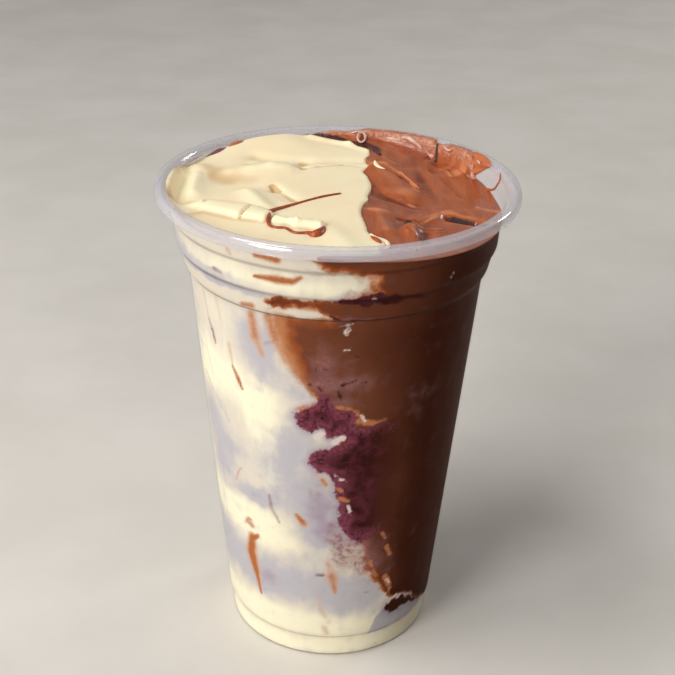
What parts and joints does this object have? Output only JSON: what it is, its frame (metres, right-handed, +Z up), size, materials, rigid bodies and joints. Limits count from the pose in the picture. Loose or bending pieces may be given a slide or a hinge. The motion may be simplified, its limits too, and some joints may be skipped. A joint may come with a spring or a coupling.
{
  "type": "cup of acai",
  "caption": "Clear stepped plastic cup filled to its lip with milk cream on one side and chocolate cream on the other, with a mass of acai showing low at the front.",
  "frame": {"origin": "centre of the foot's underside, on the surface that the cup stands on", "axes": "+Z up along the cup's axis; the front, where the acai shows through the wall, faces -Y; the chocolate side is towards +X"},
  "size_m": [0.095, 0.095, 0.132],
  "materials": {
    "cup": "clear, slightly milky thin plastic with a soft sheen",
    "milk_cream": "smooth satin pale cream, streaked with lavender and caramel where it meets the wall",
    "chocolate_cream": "smooth glossy milk chocolate spread",
    "acai": "dark purple, finely grained frozen pulp"
  },
  "bodies": {
    "root": {"cup": "cup", "milk_cream": "milk_cream", "chocolate_cream": "chocolate_cream", "acai": "acai"}
  },
  "joints": []
}
